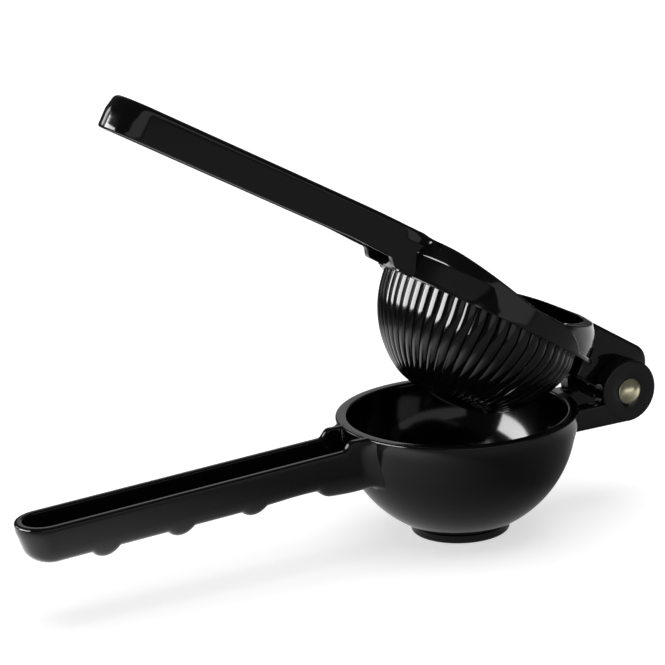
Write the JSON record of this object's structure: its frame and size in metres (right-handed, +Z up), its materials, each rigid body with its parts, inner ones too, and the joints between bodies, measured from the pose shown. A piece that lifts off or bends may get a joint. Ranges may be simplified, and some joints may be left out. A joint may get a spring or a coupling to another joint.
{
  "type": "hinged lemon squeezer",
  "caption": "Cast lever citrus squeezer, glossy black: strainer bowl with a foot, finger-bump channel handle, fluted pressing dome on a second handle, riveted side hinge",
  "frame": {"origin": "centre of the whole tool's bounding box in plan, on the plane the foot ring stands on", "axes": "X along the tool, from the handles' ends towards the hinge; Y along the hinge pin, with the domed head on the -Y side; Z up"},
  "size_m": [0.199, 0.0702, 0.1405],
  "materials": {
    "enamel": "glossy black enamel over cast aluminium",
    "rivet_metal": "pale satin brass-toned rivet head"
  },
  "bodies": {
    "lower": {"lower_arm": "enamel", "hinge_pin": "rivet_metal"},
    "upper": {"upper_arm": "enamel"}
  },
  "joints": [
    {"name": "squeeze_hinge", "type": "hinge", "parent": "lower", "child": "upper", "pos_m": [0.08992, 0, 0.03485], "axis": [0, 1, 0], "range_deg": [-31.78, 78]}
  ]
}
